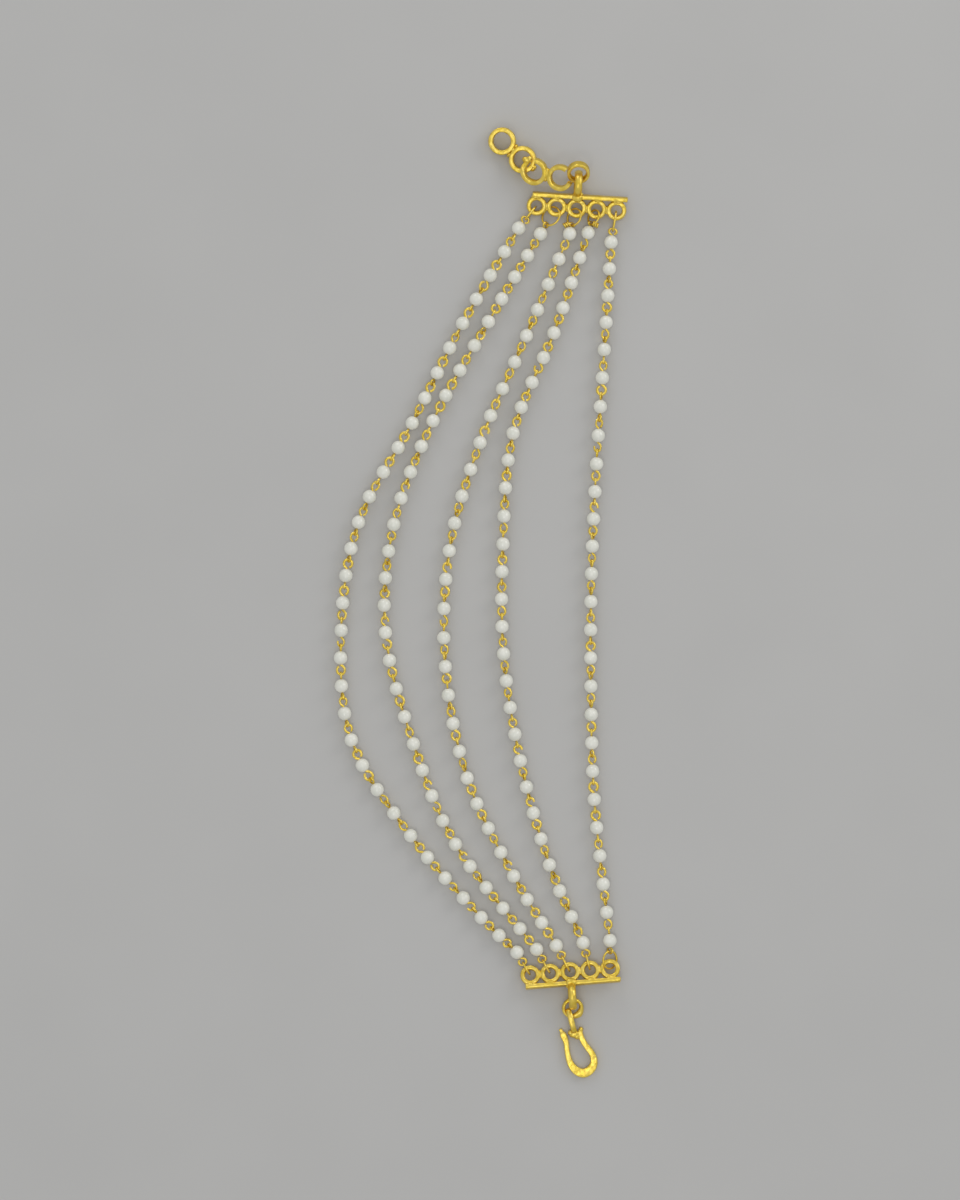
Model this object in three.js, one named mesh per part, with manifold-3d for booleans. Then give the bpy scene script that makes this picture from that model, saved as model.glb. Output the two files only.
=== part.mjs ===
// Five-strand pearl ear chain, laid flat on a surface (millimetres, +Z up).
// +Y runs from the hook end to the adjuster end, and the surface is z = 0.
// Each strand is a row of pearls on wire pins, each end bar is a flat bar with five rings
// and a bail, an adjuster of soldered rings leaves the top bar and a hook the bottom bar.

import * as THREE from 'three';
import { mergeVertices } from 'three/addons/utils/BufferGeometryUtils.js';
import Module from 'manifold-3d';

const wasm = await Module();
wasm.setup();

const DEG = Math.PI / 180;
const WELD_TOLERANCE = 1e-4;

// Driving dimensions, in millimetres and degrees
const PEARL = { diameter: 2.5, sides: 10, ringLatitude: 46 };
const PIN_CORE = { diameter: 0.7, sides: 5 };
const FINE_WIRE = { diameter: 0.33, sides: 5, segments: 8 };
const END_EYE = { radius: 0.52, bite: 0.12, behindLoop: 0.43 };
const LOOP_LEVEL = 1.18;
const LOOP_HALF_HEIGHT = 1.0;

const BAR = { length: 17, width: 0.75, depth: 1.6, lean: 18, height: 2.06 };
const BAR_RING = { outer: 1.78, hole: 1.08, depth: 0.9, pitch: 3.57, offset: 2.05, sides: 10 };
const BAIL = { halfLength: 1.9, halfHeight: 2.2, wire: 0.5, broad: 1.4, offset: 2.35, sides: 5, segments: 12 };
const ADJUSTER = { wall: 0.85, chamfer: 0.2, sides: 12, arcStep: 30 };
const LINK_1 = { outer: 2.5, depth: 1.8, apart: 4.9, solderLength: 0.9, solderWidth: 1.3, solderDepth: 1.3 };
const LINK_2 = {
  outer: 2.5, smallOuter: 2.4, depth: 1.4, apart: 4.84,
  firstFrom: 140, firstTo: 446, secondFrom: 62, secondTo: 346, dip: 0.8, dipAngle: 26,
};
const ADJUSTER_RING = { outer: 2.05, hole: 1.45, depth: 1.5, chamfer: 0.2, sides: 12 };
const CLASP_RING = { radius: 1.62, wire: 0.34, sides: 5, segments: 12 };
const HOOK = { thickness: 1.1, edge: 0.22, stepsPerPoint: 1.5 };
const HOOK_EYE = { halfLength: 1.98, halfHeight: 1.15, wire: 0.36, sides: 6, segments: 12, heading: -75 };
const HOOK_SOLDER = { radius: 0.62, sides: 6, rings: 4, long: 2.0, wide: 1.0, high: 0.95 };

// Where the end bars lie. rowShift moves the row of rings along the bar, as on the real piece.
const END_BARS = [
  { name: 'top_bar', x: 17.85, y: 71.9, heading: -3.5, rowShift: -0.5 },
  { name: 'bottom_bar', x: 16.6, y: -68.35, heading: 184.6, rowShift: 0.35 },
];

// Routes of the strands: the number of a pearl on its strand, and where its centre lies
const STRAND_ROUTES = {
  strand_1: [
    { pearl: 1, x: 6.9, y: 66.4 }, { pearl: 5, x: -3.1, y: 49.4 }, { pearl: 9, x: -12.1, y: 31.6 },
    { pearl: 13, x: -21.7, y: 13.9 }, { pearl: 17, x: -24.8, y: -5.4 }, { pearl: 21, x: -23.0, y: -25.0 },
    { pearl: 25, x: -12.4, y: -42.1 }, { pearl: 29, x: 0.2, y: -56.7 }, { pearl: 31, x: 6.6, y: -62.9 },
  ],
  strand_2: [
    { pearl: 1, x: 10.8, y: 65.4 }, { pearl: 5, x: 1.5, y: 49.7 }, { pearl: 9, x: -8.4, y: 32.0 },
    { pearl: 13, x: -15.4, y: 13.5 }, { pearl: 17, x: -16.9, y: -5.8 }, { pearl: 21, x: -11.9, y: -25.7 },
    { pearl: 25, x: -4.4, y: -43.6 }, { pearl: 30, x: 10.1, y: -62.4 },
  ],
  strand_3: [
    { pearl: 1, x: 16.0, y: 65.4 }, { pearl: 5, x: 8.3, y: 47.2 }, { pearl: 9, x: 0.0, y: 28.1 },
    { pearl: 13, x: -5.5, y: 8.8 }, { pearl: 17, x: -6.2, y: -11.9 }, { pearl: 21, x: -2.3, y: -31.8 },
    { pearl: 25, x: 6.0, y: -49.3 }, { pearl: 28, x: 13.6, y: -61.7 },
  ],
  strand_4: [
    { pearl: 1, x: 19.3, y: 65.6 }, { pearl: 5, x: 13.2, y: 47.7 }, { pearl: 9, x: 5.9, y: 29.8 },
    { pearl: 13, x: 4.1, y: 10.0 }, { pearl: 17, x: 4.2, y: -9.6 }, { pearl: 21, x: 7.2, y: -28.7 },
    { pearl: 25, x: 12.4, y: -47.3 }, { pearl: 28, x: 18.4, y: -61.2 },
  ],
  strand_5: [
    { pearl: 1, x: 23.4, y: 63.9 }, { pearl: 5, x: 22.2, y: 44.7 }, { pearl: 9, x: 20.8, y: 24.3 },
    { pearl: 13, x: 19.9, y: 4.7 }, { pearl: 17, x: 19.8, y: -15.4 }, { pearl: 21, x: 20.4, y: -35.6 },
    { pearl: 26, x: 23.2, y: -60.8 },
  ],
};

// Wire loops between a bar's rings and the strands. reach is how far the loop's near end stands
// out from the middle of the ring's hole, and eyeGap how far its far end stays from the pearl's
// centre. An upright loop is oval, and any other is round and lies as low as it can.
const TOP_LOOPS = [
  { reach: 0.25, eyeGap: 1.6, upright: true },
  { reach: 0.15, eyeGap: 1.9, upright: false },
  { reach: 0.1, eyeGap: 1.6, upright: false },
  { reach: 0.15, eyeGap: 1.6, upright: false },
  { reach: 0.2, eyeGap: 1.75, upright: true },
];
const BOTTOM_LOOPS = [
  { reach: 0.2, eyeGap: 1.6, upright: true },
  { reach: 0.2, eyeGap: 1.6, upright: true },
  { reach: 0.2, eyeGap: 1.6, upright: true },
  { reach: 0.2, eyeGap: 1.6, upright: true },
  { reach: 0, eyeGap: 1.9, upright: false },
];

// Centreline of the hook from its nub round the bend to its tip, with the hammered width there
const HOOK_ROUTE = [
  { x: 18.05, y: -76.55, width: 0.75 },
  { x: 17.95, y: -77.7, width: 1.0 },
  { x: 18.75, y: -79.4, width: 0.95 },
  { x: 20.0, y: -81.05, width: 1.05 },
  { x: 20.4, y: -82.6, width: 1.3 },
  { x: 19.8, y: -83.9, width: 1.55 },
  { x: 18.5, y: -84.62, width: 1.7 },
  { x: 17.1, y: -84.0, width: 1.45 },
  { x: 16.1, y: -82.7, width: 1.15 },
  { x: 15.6, y: -80.8, width: 0.9 },
  { x: 15.4, y: -79.0, width: 0.85 },
  { x: 14.85, y: -77.8, width: 0.85 },
  { x: 14.4, y: -76.75, width: 0.8 },
];
const HOOK_EYE_MIDDLE = { x: 16.3, y: -75.08 };
const HOOK_SOLDER_MIDDLE = { x: 16.95, y: -77.55 };

// How the rings of the adjuster and the clasp lie on one another
const ADJUSTER_LINK_1_PLACE = { x: 3.97, y: 81.9, z: 1.6, heading: -41.9, tilt: 2, lean: 12 };
const ADJUSTER_LINK_2_PLACE = { x: 9.64, y: 76.26, z: 3.5, heading: -15.1, tilt: -11, lean: 26 };
const ADJUSTER_RING_PLACE = { x: 17.5, y: 76.05, z: 3.8, lean: 40 };
const CLASP_RING_PLACE = { x: 16.55, y: -72.86, z: 1.5, lean: 13 };

const gold = () => new THREE.MeshStandardMaterial({ color: 0xe3b83a, roughness: 0.3, metalness: 1 });
const pearl = () => new THREE.MeshStandardMaterial({ color: 0xe4e1d2, roughness: 0.25, metalness: 0 });

// Solids from closed geometries, and back
function toSolid(geometry) {
  const bare = geometry.clone();
  bare.deleteAttribute('normal');
  bare.deleteAttribute('uv');
  const welded = mergeVertices(bare, WELD_TOLERANCE);
  return new wasm.Manifold(new wasm.Mesh({
    numProp: 3,
    vertProperties: Float32Array.from(welded.attributes.position.array),
    triVerts: Uint32Array.from(welded.index.array),
  }));
}

function fused(geometries) {
  const solid = geometries.map(toSolid).reduce((whole, part) => whole.add(part));
  const mesh = solid.getMesh();
  const geometry = new THREE.BufferGeometry();
  geometry.setAttribute('position', new THREE.BufferAttribute(Float32Array.from(mesh.vertProperties), 3));
  geometry.setIndex(new THREE.BufferAttribute(Uint32Array.from(mesh.triVerts), 1));
  geometry.computeVertexNormals();
  return geometry;
}

// A thing that leans about its own X axis, then tilts about its Y axis, then turns to its heading
function turned(object, { x, y, z, heading = 0, tilt = 0, lean = 0 }) {
  object.position.set(x, y, z);
  object.rotation.set(lean * DEG, tilt * DEG, heading * DEG, 'ZYX');
  object.updateMatrix();
  return object;
}

function turnedGeometry(geometry, place) {
  return geometry.applyMatrix4(turned(new THREE.Object3D(), place).matrix);
}

// A flat-faced ring, its outer edges sharp or chamfered, its axis along Z
function bandRing({ outer, hole, depth, chamfer = 0, sides }) {
  const half = depth / 2;
  const rim = chamfer === 0
    ? [[outer, -half], [outer, half]]
    : [[outer - chamfer, -half], [outer, -half + chamfer], [outer, half - chamfer], [outer - chamfer, half]];
  const profile = [[hole, -half], ...rim, [hole, half], [hole, -half]]
    .map(([radius, level]) => new THREE.Vector2(radius, level));
  return new THREE.LatheGeometry(profile, sides).rotateX(Math.PI / 2);
}

// A wire loop in the XY plane, round or oval, its wire round or broader across the plane
function wireLoop({ halfLength, halfHeight, wire, broad = 1, sides, segments }) {
  return new THREE.TorusGeometry(halfLength, wire, sides, segments)
    .scale(1, halfHeight / halfLength, broad);
}

// Centreline of an opened ring: an arc whose first end dips out of the ring's plane
class OpenedRing extends THREE.Curve {
  constructor({ radius, from, to, dip = 0, dipAngle = 1 }) {
    super();
    Object.assign(this, { radius, from, to, dip, dipAngle });
  }

  getPoint(t, target = new THREE.Vector3()) {
    const angle = THREE.MathUtils.lerp(this.from, this.to, t);
    const bend = THREE.MathUtils.smoothstep(this.from + this.dipAngle - angle, 0, this.dipAngle);
    return target.set(
      this.radius * Math.cos(angle * DEG),
      this.radius * Math.sin(angle * DEG),
      -this.dip * bend,
    );
  }
}

function openedBand({ outer, depth, ...arc }) {
  const { wall, chamfer, arcStep } = ADJUSTER;
  const halfDepth = depth / 2;
  const halfWall = wall / 2;
  const section = new THREE.Shape([
    [-halfDepth + chamfer, -halfWall], [halfDepth - chamfer, -halfWall], [halfDepth, -halfWall + chamfer],
    [halfDepth, halfWall], [-halfDepth, halfWall], [-halfDepth, -halfWall + chamfer],
  ].map(([level, across]) => new THREE.Vector2(level, across)));
  const centreline = new OpenedRing({ radius: outer - halfWall, ...arc });
  const steps = Math.round((arc.to - arc.from) / arcStep);
  return new THREE.ExtrudeGeometry(section, { steps, extrudePath: centreline, bevelEnabled: false });
}

// Middle of each pearl on a strand: a smooth curve through the strand's route
function pearlCentres(route) {
  const slope = (row) => {
    const before = route[Math.max(row - 1, 0)];
    const after = route[Math.min(row + 1, route.length - 1)];
    const span = after.pearl - before.pearl;
    return { x: (after.x - before.x) / span, y: (after.y - before.y) / span };
  };
  const centres = [];
  for (let row = 0; row < route.length - 1; row += 1) {
    const start = route[row];
    const end = route[row + 1];
    const span = end.pearl - start.pearl;
    const lastStep = row === route.length - 2 ? span : span - 1;
    for (let step = 0; step <= lastStep; step += 1) {
      const u = step / span;
      const endShare = u * u * (3 - 2 * u);
      const startBend = u * (1 - u) * (1 - u) * span;
      const endBend = u * u * (u - 1) * span;
      const along = (axis) => start[axis] * (1 - endShare) + end[axis] * endShare
        + slope(row)[axis] * startBend + slope(row + 1)[axis] * endBend;
      centres.push(new THREE.Vector3(along('x'), along('y'), PEARL.diameter / 2));
    }
  }
  return centres;
}

// Pearls on a straight core from pearl to pearl, as one skin: rings of points joined in bands
function pearlString(centres) {
  const points = [];
  const faces = [];
  const up = new THREE.Vector3(0, 0, 1);
  const pearlRadius = PEARL.diameter / 2;
  const coreRadius = PIN_CORE.diameter / 2;

  const addRing = (centre, along, offset, radius, sides) => {
    const side = new THREE.Vector3().crossVectors(up, along);
    const first = points.length / 3;
    for (let i = 0; i < sides; i += 1) {
      const angle = (2 * Math.PI * i) / sides;
      const point = centre.clone()
        .addScaledVector(along, offset)
        .addScaledVector(side, radius * Math.cos(angle))
        .addScaledVector(up, radius * Math.sin(angle));
      points.push(point.x, point.y, point.z);
    }
    return { first, sides };
  };
  const at = (ring, i) => ring.first + (i % ring.sides);

  const joinEqual = (a, b) => {
    for (let i = 0; i < a.sides; i += 1) {
      faces.push(at(a, i), at(a, i + 1), at(b, i), at(a, i + 1), at(b, i + 1), at(b, i));
    }
  };
  const joinCoreToPearl = (core, band) => {
    for (let i = 0; i < core.sides; i += 1) {
      const j = 2 * i;
      faces.push(at(core, i), at(band, j + 1), at(band, j));
      faces.push(at(core, i), at(core, i + 1), at(band, j + 1));
      faces.push(at(core, i + 1), at(band, j + 2), at(band, j + 1));
    }
  };
  const joinPearlToCore = (band, core) => {
    for (let i = 0; i < core.sides; i += 1) {
      const j = 2 * i;
      faces.push(at(band, j), at(band, j + 1), at(core, i));
      faces.push(at(band, j + 1), at(core, i + 1), at(core, i));
      faces.push(at(band, j + 1), at(band, j + 2), at(core, i + 1));
    }
  };

  const poleOffset = Math.sqrt(pearlRadius ** 2 - coreRadius ** 2);
  const bandOffset = pearlRadius * Math.sin(PEARL.ringLatitude * DEG);
  const bandRadius = pearlRadius * Math.cos(PEARL.ringLatitude * DEG);
  let previous = null;
  centres.forEach((centre, i) => {
    const before = centres[Math.max(i - 1, 0)];
    const after = centres[Math.min(i + 1, centres.length - 1)];
    const along = after.clone().sub(before).normalize();
    const start = addRing(centre, along, -poleOffset, coreRadius, PIN_CORE.sides);
    const low = addRing(centre, along, -bandOffset, bandRadius, PEARL.sides);
    const middle = addRing(centre, along, 0, pearlRadius, PEARL.sides);
    const high = addRing(centre, along, bandOffset, bandRadius, PEARL.sides);
    const end = addRing(centre, along, poleOffset, coreRadius, PIN_CORE.sides);
    if (previous) joinEqual(previous, start);
    if (!previous) faces.push(0, 2, 1, 0, 3, 2, 0, 4, 3);
    joinCoreToPearl(start, low);
    joinEqual(low, middle);
    joinEqual(middle, high);
    joinPearlToCore(high, end);
    previous = end;
  });
  const last = previous.first;
  faces.push(last, last + 1, last + 2, last, last + 2, last + 3, last, last + 3, last + 4);

  const geometry = new THREE.BufferGeometry();
  geometry.setAttribute('position', new THREE.Float32BufferAttribute(points, 3));
  geometry.setIndex(faces);
  return geometry;
}

// Bar, five rings and bail, soldered. The bar runs along X and the bail stands out along +Y.
function endBar({ rowShift }) {
  const parts = [new THREE.BoxGeometry(BAR.length, BAR.width, BAR.depth)];
  for (let i = -2; i <= 2; i += 1) {
    parts.push(bandRing(BAR_RING).translate(rowShift + i * BAR_RING.pitch, -BAR_RING.offset, 0));
  }
  parts.push(wireLoop(BAIL)
    .rotateX(Math.PI / 2)
    .rotateZ(Math.PI / 2)
    .translate(rowShift, BAIL.offset, 0));
  return fused(parts);
}

// Middle of a ring's hole on an end bar, with the bar laid in its place
function barRingCentre(bar, strand) {
  const direction = Math.cos(bar.heading * DEG) > 0 ? 1 : -1;
  const along = bar.rowShift + direction * (strand - 3) * BAR_RING.pitch;
  const laid = turned(new THREE.Object3D(), barPlace(bar));
  return new THREE.Vector3(along, -BAR_RING.offset, 0).applyMatrix4(laid.matrix);
}

function barPlace({ x, y, heading }) {
  return { x, y, z: BAR.height, heading, lean: BAR.lean };
}

// Where a wire loop lies between a ring of the bar and the pearl at the strand's end
function loopPlace(ringCentre, pearlCentre, { reach, eyeGap, upright }) {
  const run = new THREE.Vector2(pearlCentre.x - ringCentre.x, pearlCentre.y - ringCentre.y);
  const halfLength = (run.length() - eyeGap - reach) / 2;
  const direction = run.clone().normalize();
  const middle = reach + halfLength;
  return {
    halfLength,
    halfHeight: upright ? LOOP_HALF_HEIGHT : halfLength,
    place: {
      x: ringCentre.x + direction.x * middle,
      y: ringCentre.y + direction.y * middle,
      z: LOOP_LEVEL,
      heading: Math.atan2(direction.y, direction.x) / DEG,
      lean: upright ? 90 : Math.asin(Math.min(1, LOOP_HALF_HEIGHT / halfLength)) / DEG,
    },
  };
}

// Wire eye at a strand's end: it starts inside the pearl, closes behind the loop that it holds
// and stands across that loop's plane
function endEye(pearlCentre, loop) {
  const { heading, lean } = loop.place;
  const nearEnd = PEARL.diameter / 2 - END_EYE.bite;
  const farEnd = loop.eyeGap + END_EYE.behindLoop;
  const halfLength = (farEnd - nearEnd) / 2;
  const middle = nearEnd + halfLength;
  const eye = wireLoop({
    halfLength,
    halfHeight: END_EYE.radius,
    wire: FINE_WIRE.diameter / 2,
    sides: FINE_WIRE.sides,
    segments: FINE_WIRE.segments,
  });
  return turnedGeometry(eye, {
    x: pearlCentre.x - middle * Math.cos(heading * DEG),
    y: pearlCentre.y - middle * Math.sin(heading * DEG),
    z: LOOP_LEVEL,
    heading,
    lean: lean - 90,
  });
}

// Two closed rings soldered side by side
function adjusterLink1() {
  const { outer, depth, apart, solderLength, solderWidth, solderDepth } = LINK_1;
  const { wall, chamfer, sides } = ADJUSTER;
  const ring = { outer, hole: outer - wall, depth, chamfer, sides };
  const solder = new THREE.BoxGeometry(solderLength, solderWidth, solderDepth).translate(apart / 2, 0, 0);
  return fused([bandRing(ring), bandRing(ring).translate(apart, 0, 0), solder]);
}

// Two opened rings soldered side by side, the first with an end that dips into its neighbour
function adjusterLink2() {
  const { outer, smallOuter, depth, apart, dip, dipAngle } = LINK_2;
  const first = openedBand({ outer, depth, from: LINK_2.firstFrom, to: LINK_2.firstTo, dip, dipAngle });
  const second = openedBand({ outer: smallOuter, depth, from: LINK_2.secondFrom, to: LINK_2.secondTo });
  return fused([first, second.translate(apart, 0, 0)]);
}

function claspRing() {
  const { radius, wire, sides, segments } = CLASP_RING;
  return new THREE.TorusGeometry(radius, wire, sides, segments);
}

// The hook: a hammered bend cut from its outline, the upright eye and the solder between them
function earHook() {
  const path = new THREE.CatmullRomCurve3(HOOK_ROUTE.map(({ x, y }) => new THREE.Vector3(x, y, 0)));
  const steps = HOOK.stepsPerPoint * (HOOK_ROUTE.length - 1);
  const left = [];
  const right = [];
  for (let i = 0; i <= steps; i += 1) {
    const t = i / steps;
    const row = t * (HOOK_ROUTE.length - 1);
    const low = HOOK_ROUTE[Math.floor(row)];
    const high = HOOK_ROUTE[Math.ceil(row)];
    const halfWidth = THREE.MathUtils.lerp(low.width, high.width, row - Math.floor(row)) / 2;
    const middle = path.getPoint(t);
    const along = path.getTangent(t);
    left.push(new THREE.Vector2(middle.x - along.y * halfWidth, middle.y + along.x * halfWidth));
    right.unshift(new THREE.Vector2(middle.x + along.y * halfWidth, middle.y - along.x * halfWidth));
  }
  const bend = new THREE.ExtrudeGeometry(new THREE.Shape([...left, ...right]), {
    depth: HOOK.thickness - 2 * HOOK.edge,
    bevelThickness: HOOK.edge,
    bevelSize: HOOK.edge,
    bevelOffset: -HOOK.edge,
    bevelSegments: 1,
  }).translate(0, 0, HOOK.edge);

  const eye = turnedGeometry(wireLoop(HOOK_EYE), {
    ...HOOK_EYE_MIDDLE,
    z: HOOK_EYE.halfHeight + HOOK_EYE.wire,
    heading: HOOK_EYE.heading,
    lean: 90,
  });
  const { radius, sides, rings, long, wide, high } = HOOK_SOLDER;
  const solder = new THREE.SphereGeometry(radius, sides, rings)
    .scale(long, wide, high)
    .translate(HOOK_SOLDER_MIDDLE.x, HOOK_SOLDER_MIDDLE.y, radius);
  return fused([bend, eye, solder]);
}

// The whole ear chain
const earChain = new THREE.Group();

function addPiece(name, geometry, material, place) {
  const mesh = new THREE.Mesh(geometry, material);
  mesh.name = name;
  if (place) turned(mesh, place);
  earChain.add(mesh);
  return mesh;
}

for (const bar of END_BARS) {
  addPiece(bar.name, endBar(bar), gold(), barPlace(bar));
}

const [topBar, bottomBar] = END_BARS;
Object.entries(STRAND_ROUTES).forEach(([name, route], i) => {
  const strand = i + 1;
  const centres = pearlCentres(route);
  const ends = [
    { loopName: `top_loop_${strand}`, loop: TOP_LOOPS[i], bar: topBar, centre: centres[0] },
    { loopName: `bottom_loop_${strand}`, loop: BOTTOM_LOOPS[i], bar: bottomBar, centre: centres.at(-1) },
  ];
  const eyes = ends.map(({ loopName, loop, bar, centre }) => {
    const laid = loopPlace(barRingCentre(bar, strand), centre, loop);
    const wire = { wire: FINE_WIRE.diameter / 2, sides: FINE_WIRE.sides, segments: FINE_WIRE.segments };
    addPiece(loopName, wireLoop({ ...laid, ...wire }), gold(), laid.place);
    return endEye(centre, { ...loop, ...laid });
  });
  addPiece(name, fused([pearlString(centres), ...eyes]), pearl());
});

addPiece('adjuster_link_1', adjusterLink1(), gold(), ADJUSTER_LINK_1_PLACE);
addPiece('adjuster_link_2', adjusterLink2(), gold(), ADJUSTER_LINK_2_PLACE);
addPiece('adjuster_ring', bandRing(ADJUSTER_RING), gold(), ADJUSTER_RING_PLACE);
addPiece('clasp_ring', claspRing(), gold(), CLASP_RING_PLACE);
addPiece('ear_hook', earHook(), gold());

// The origin goes under the middle of the whole, on the surface that it lies on
const extent = new THREE.Box3().setFromObject(earChain, true);
const middle = extent.getCenter(new THREE.Vector3());
earChain.position.set(-middle.x, -middle.y, -extent.min.z);

export default earChain;
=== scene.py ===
"""Five-strand pearl ear chain, laid flat: pearls on wire eyes, ringed bars, a soldered adjuster and a hook.

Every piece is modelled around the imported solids, in the same frame, and stands for the solid of its name.
"""

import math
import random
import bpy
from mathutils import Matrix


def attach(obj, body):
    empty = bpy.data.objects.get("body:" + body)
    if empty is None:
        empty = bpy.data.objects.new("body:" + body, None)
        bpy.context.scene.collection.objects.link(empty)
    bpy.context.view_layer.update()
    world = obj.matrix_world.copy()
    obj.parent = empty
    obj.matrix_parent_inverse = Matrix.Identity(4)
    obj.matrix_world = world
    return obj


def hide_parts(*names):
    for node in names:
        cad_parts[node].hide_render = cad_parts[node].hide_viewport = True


bl_info = {
    "name": "Pearl Ear Chain",
    "version": (1, 0, 0),
    "blender": (4, 5, 0),
    "location": "3D View > Sidebar > Ear Chain",
    "description": "Builds the pearl strands, end bars, adjuster and hook of an ear chain",
    "category": "Object",
}

from collections import namedtuple

import bmesh
import bpy
from bpy.props import FloatProperty, FloatVectorProperty, IntProperty, PointerProperty
from mathutils import Matrix, Vector

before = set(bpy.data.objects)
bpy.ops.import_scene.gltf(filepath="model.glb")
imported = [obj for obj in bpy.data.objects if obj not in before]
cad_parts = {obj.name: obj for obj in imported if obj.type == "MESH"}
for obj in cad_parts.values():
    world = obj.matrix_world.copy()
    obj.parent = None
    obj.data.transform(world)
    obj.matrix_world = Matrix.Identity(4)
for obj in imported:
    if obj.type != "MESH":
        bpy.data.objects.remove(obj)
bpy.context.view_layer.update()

MM = 0.001
# With no window, transform.rotate and spin turn the other way
TURN = -1

# Middle of the solids' box, in the millimetres of the tables below
ORIGIN_SHIFT = Vector((-0.1101, 0.5224, 0.0))

# Where the end bars lie, and how far the row of rings is shifted along the bar
END_BARS = {
    "top": {
        "x": 17.85, "y": 71.9, "z": 2.06, "heading": -3.5, "lean": 18,
        "row_shift": -0.5, "side": 1},
    "bottom": {
        "x": 16.6, "y": -68.35, "z": 2.06, "heading": 184.6, "lean": 18,
        "row_shift": 0.35, "side": -1},
}
STRAND_COUNT = 5
# Rounding of a bar's edges and of its rings' edges, and how many lengths a bar is cut into
BAR_EDGE = 0.17
BAR_RING_EDGE = 0.24
BAR_LENGTHS = 24

# Routes of the strands: the number of a pearl on its strand, and where its centre lies
STRAND_ROUTES = (
    ((1, 6.9, 66.4), (5, -3.1, 49.4), (9, -12.1, 31.6), (13, -21.7, 13.9), (17, -24.8, -5.4),
     (21, -23.0, -25.0), (25, -12.4, -42.1), (29, 0.2, -56.7), (31, 6.6, -62.9)),
    ((1, 10.8, 65.4), (5, 1.5, 49.7), (9, -8.4, 32.0), (13, -15.4, 13.5), (17, -16.9, -5.8),
     (21, -11.9, -25.7), (25, -4.4, -43.6), (30, 10.1, -62.4)),
    ((1, 16.0, 65.4), (5, 8.3, 47.2), (9, 0.0, 28.1), (13, -5.5, 8.8), (17, -6.2, -11.9),
     (21, -2.3, -31.8), (25, 6.0, -49.3), (28, 13.6, -61.7)),
    ((1, 19.3, 65.6), (5, 13.2, 47.7), (9, 5.9, 29.8), (13, 4.1, 10.0), (17, 4.2, -9.6),
     (21, 7.2, -28.7), (25, 12.4, -47.3), (28, 18.4, -61.2)),
    ((1, 23.4, 63.9), (5, 22.2, 44.7), (9, 20.8, 24.3), (13, 19.9, 4.7), (17, 19.8, -15.4),
     (21, 20.4, -35.6), (26, 23.2, -60.8)),
)

# Level of the pearls' centres, and how many shapes of pearl there are to choose from
PEARL_LEVEL = 1.25
PEARL_SHAPES = 4
# A pearl's hole mouths and unevenness, as shares of its diameter
PEARL_MOUTH = 0.035
PEARL_RECESS = 0.09
PEARL_DEPTH = 0.02
PEARL_GRAIN = 0.45

# Loops between a bar's rings and the strands: how far the near end stands out from the middle of
# the ring's hole, how far the far end stays from the pearl's centre, and whether the loop is upright
END_LOOPS = {
    "top": ((0.25, 2.0, True), (0.15, 1.9, False), (0.1, 1.6, False), (0.15, 1.6, False), (0.2, 2.05, True)),
    "bottom": (
        (0.2, 2.15, True), (0.2, 2.15, True), (0.2, 2.15, True), (0.2, 2.15, True), (0.0, 1.9, False)),
}
LOOP_LEVEL = 1.19
LOOP_HALF_HEIGHT = 1.0
BEHIND_LOOP = 0.43
# Loops whose wire ends in a few small turns side by side, and where the first and the last turn stand
CURLED_ENDS = {
    "top_loop_3": {"x": 15.1, "y": 66.85, "end_x": 15.8, "end_y": 67.15},
    "top_loop_4": {"x": 20.95, "y": 66.85, "end_x": 20.3, "end_y": 67.2},
}
# The turns themselves: half sizes, wire as a share of the loop's, level, slant in degrees and number
CURL = {"half_length": 0.36, "half_height": 0.32, "wire": 0.48, "level": 1.5, "slant": 14, "turns": 3}

# An eye before it is stretched: where its pearl ends and how far it reaches, from the pearl's centre
PEARL_SURFACE = 1.25
EYE_REACH = 2.58
# Its wire leaves the pearl along the shank, goes round the eye by these degrees and ends at the neck
EYE_SHANK = ((0.95, 0.0), (1.25, 0.03))
EYE_NECK = (1.48, -0.27)
EYE_BEND = {"first": 135, "step": 27, "closed": -135, "gaping": -108}
# How far an eye passes the place where two meet, and how far that lies from the middle between the pearls
EYE_OVERLAP = 0.21
EYE_SHIFTS = (0.12, 0.32)
# How broad the flat eyes and the upright ones are, how broad an end eye is and how many eyes gape
FLAT_EYES = (1.0, 1.28)
UPRIGHT_EYES = (0.85, 1.0)
END_EYE_BREADTH = 1.15
GAPING_SHARE = 0.12
# How far a joint may be rolled, and how far its upright eye may differ from that, in radians
JOINT_ROLL = 0.45
UPRIGHT_ROLL = 0.35

# How the rings of the adjuster and the clasp lie on one another
ADJUSTER_LINK_1_PLACE = {"x": 3.97, "y": 81.9, "z": 1.6, "heading": -41.9, "tilt": 2, "lean": 12}
ADJUSTER_LINK_2_PLACE = {"x": 9.64, "y": 76.26, "z": 3.5, "heading": -15.1, "tilt": -11, "lean": 26}
ADJUSTER_RING_PLACE = {"x": 17.5, "y": 76.05, "z": 3.8, "lean": 40}
CLASP_RING_PLACE = {"x": 16.55, "y": -72.86, "z": 1.5, "lean": 13}
HOOK_EYE_PLACE = {"x": 16.3, "y": -75.08, "z": 1.51, "heading": -75, "lean": 90}

# Sizes of the single rings: radii, depth and how much broader than thick a wire is
ADJUSTER_RING = {"outer": 2.03, "hole": 1.45, "depth": 1.48}
CLASP_RING = {"radius": 1.62, "wire": 0.33, "broad": 1.25}
HOOK_EYE = {"half_length": 1.98, "half_height": 1.15, "wire": 0.36, "broad": 1.35}
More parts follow.
